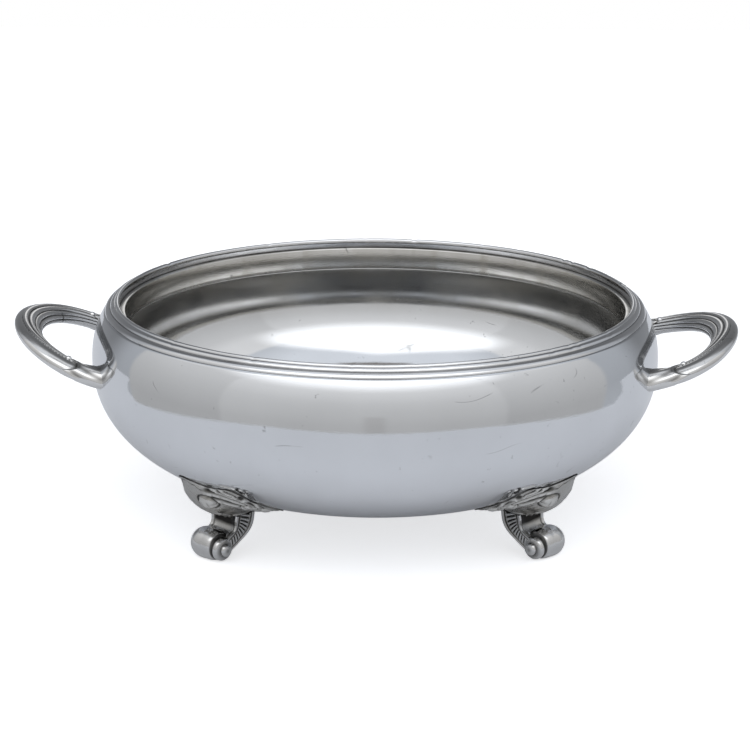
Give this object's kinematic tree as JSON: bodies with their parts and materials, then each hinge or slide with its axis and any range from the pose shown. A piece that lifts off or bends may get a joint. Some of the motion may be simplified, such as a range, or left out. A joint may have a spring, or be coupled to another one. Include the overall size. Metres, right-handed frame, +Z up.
{
  "type": "individual casserole dish",
  "caption": "Round footed casserole dish in polished silver plate with a reeded rim, an inner ledge for a cover, reeded loop handles, and scroll feet under leaf mounts.",
  "frame": {"origin": "on the bowl's vertical axis, at the level of the surface that the feet stand on", "axes": "+X from the bowl's axis towards the right handle, +Y away from the picture's viewer, +Z up through the mouth"},
  "size_m": [0.2574, 0.2, 0.0779],
  "materials": {
    "bowl_plate": "polished silver plate with fine wear scratches",
    "rim_plate": "polished silver plate, darker in the grooves",
    "seat_plate": "polished silver plate with a slight warm tarnish",
    "handle_plate": "worn silver plate with pits and dark grooves between the reeds",
    "leaf_plate": "cast silver plate with dark tarnish in the recesses",
    "foot_plate": "cast silver plate with dark tarnish in the recesses"
  },
  "bodies": {
    "root": {"bowl": "bowl_plate", "reeded_rim": "rim_plate", "seat_ring": "seat_plate", "handle_right": "handle_plate", "handle_left": "handle_plate", "leaf_back_right": "leaf_plate", "leaf_back_left": "leaf_plate", "leaf_front_left": "leaf_plate", "leaf_front_right": "leaf_plate", "foot_back_right": "foot_plate", "foot_back_left": "foot_plate", "foot_front_left": "foot_plate", "foot_front_right": "foot_plate"}
  },
  "joints": []
}
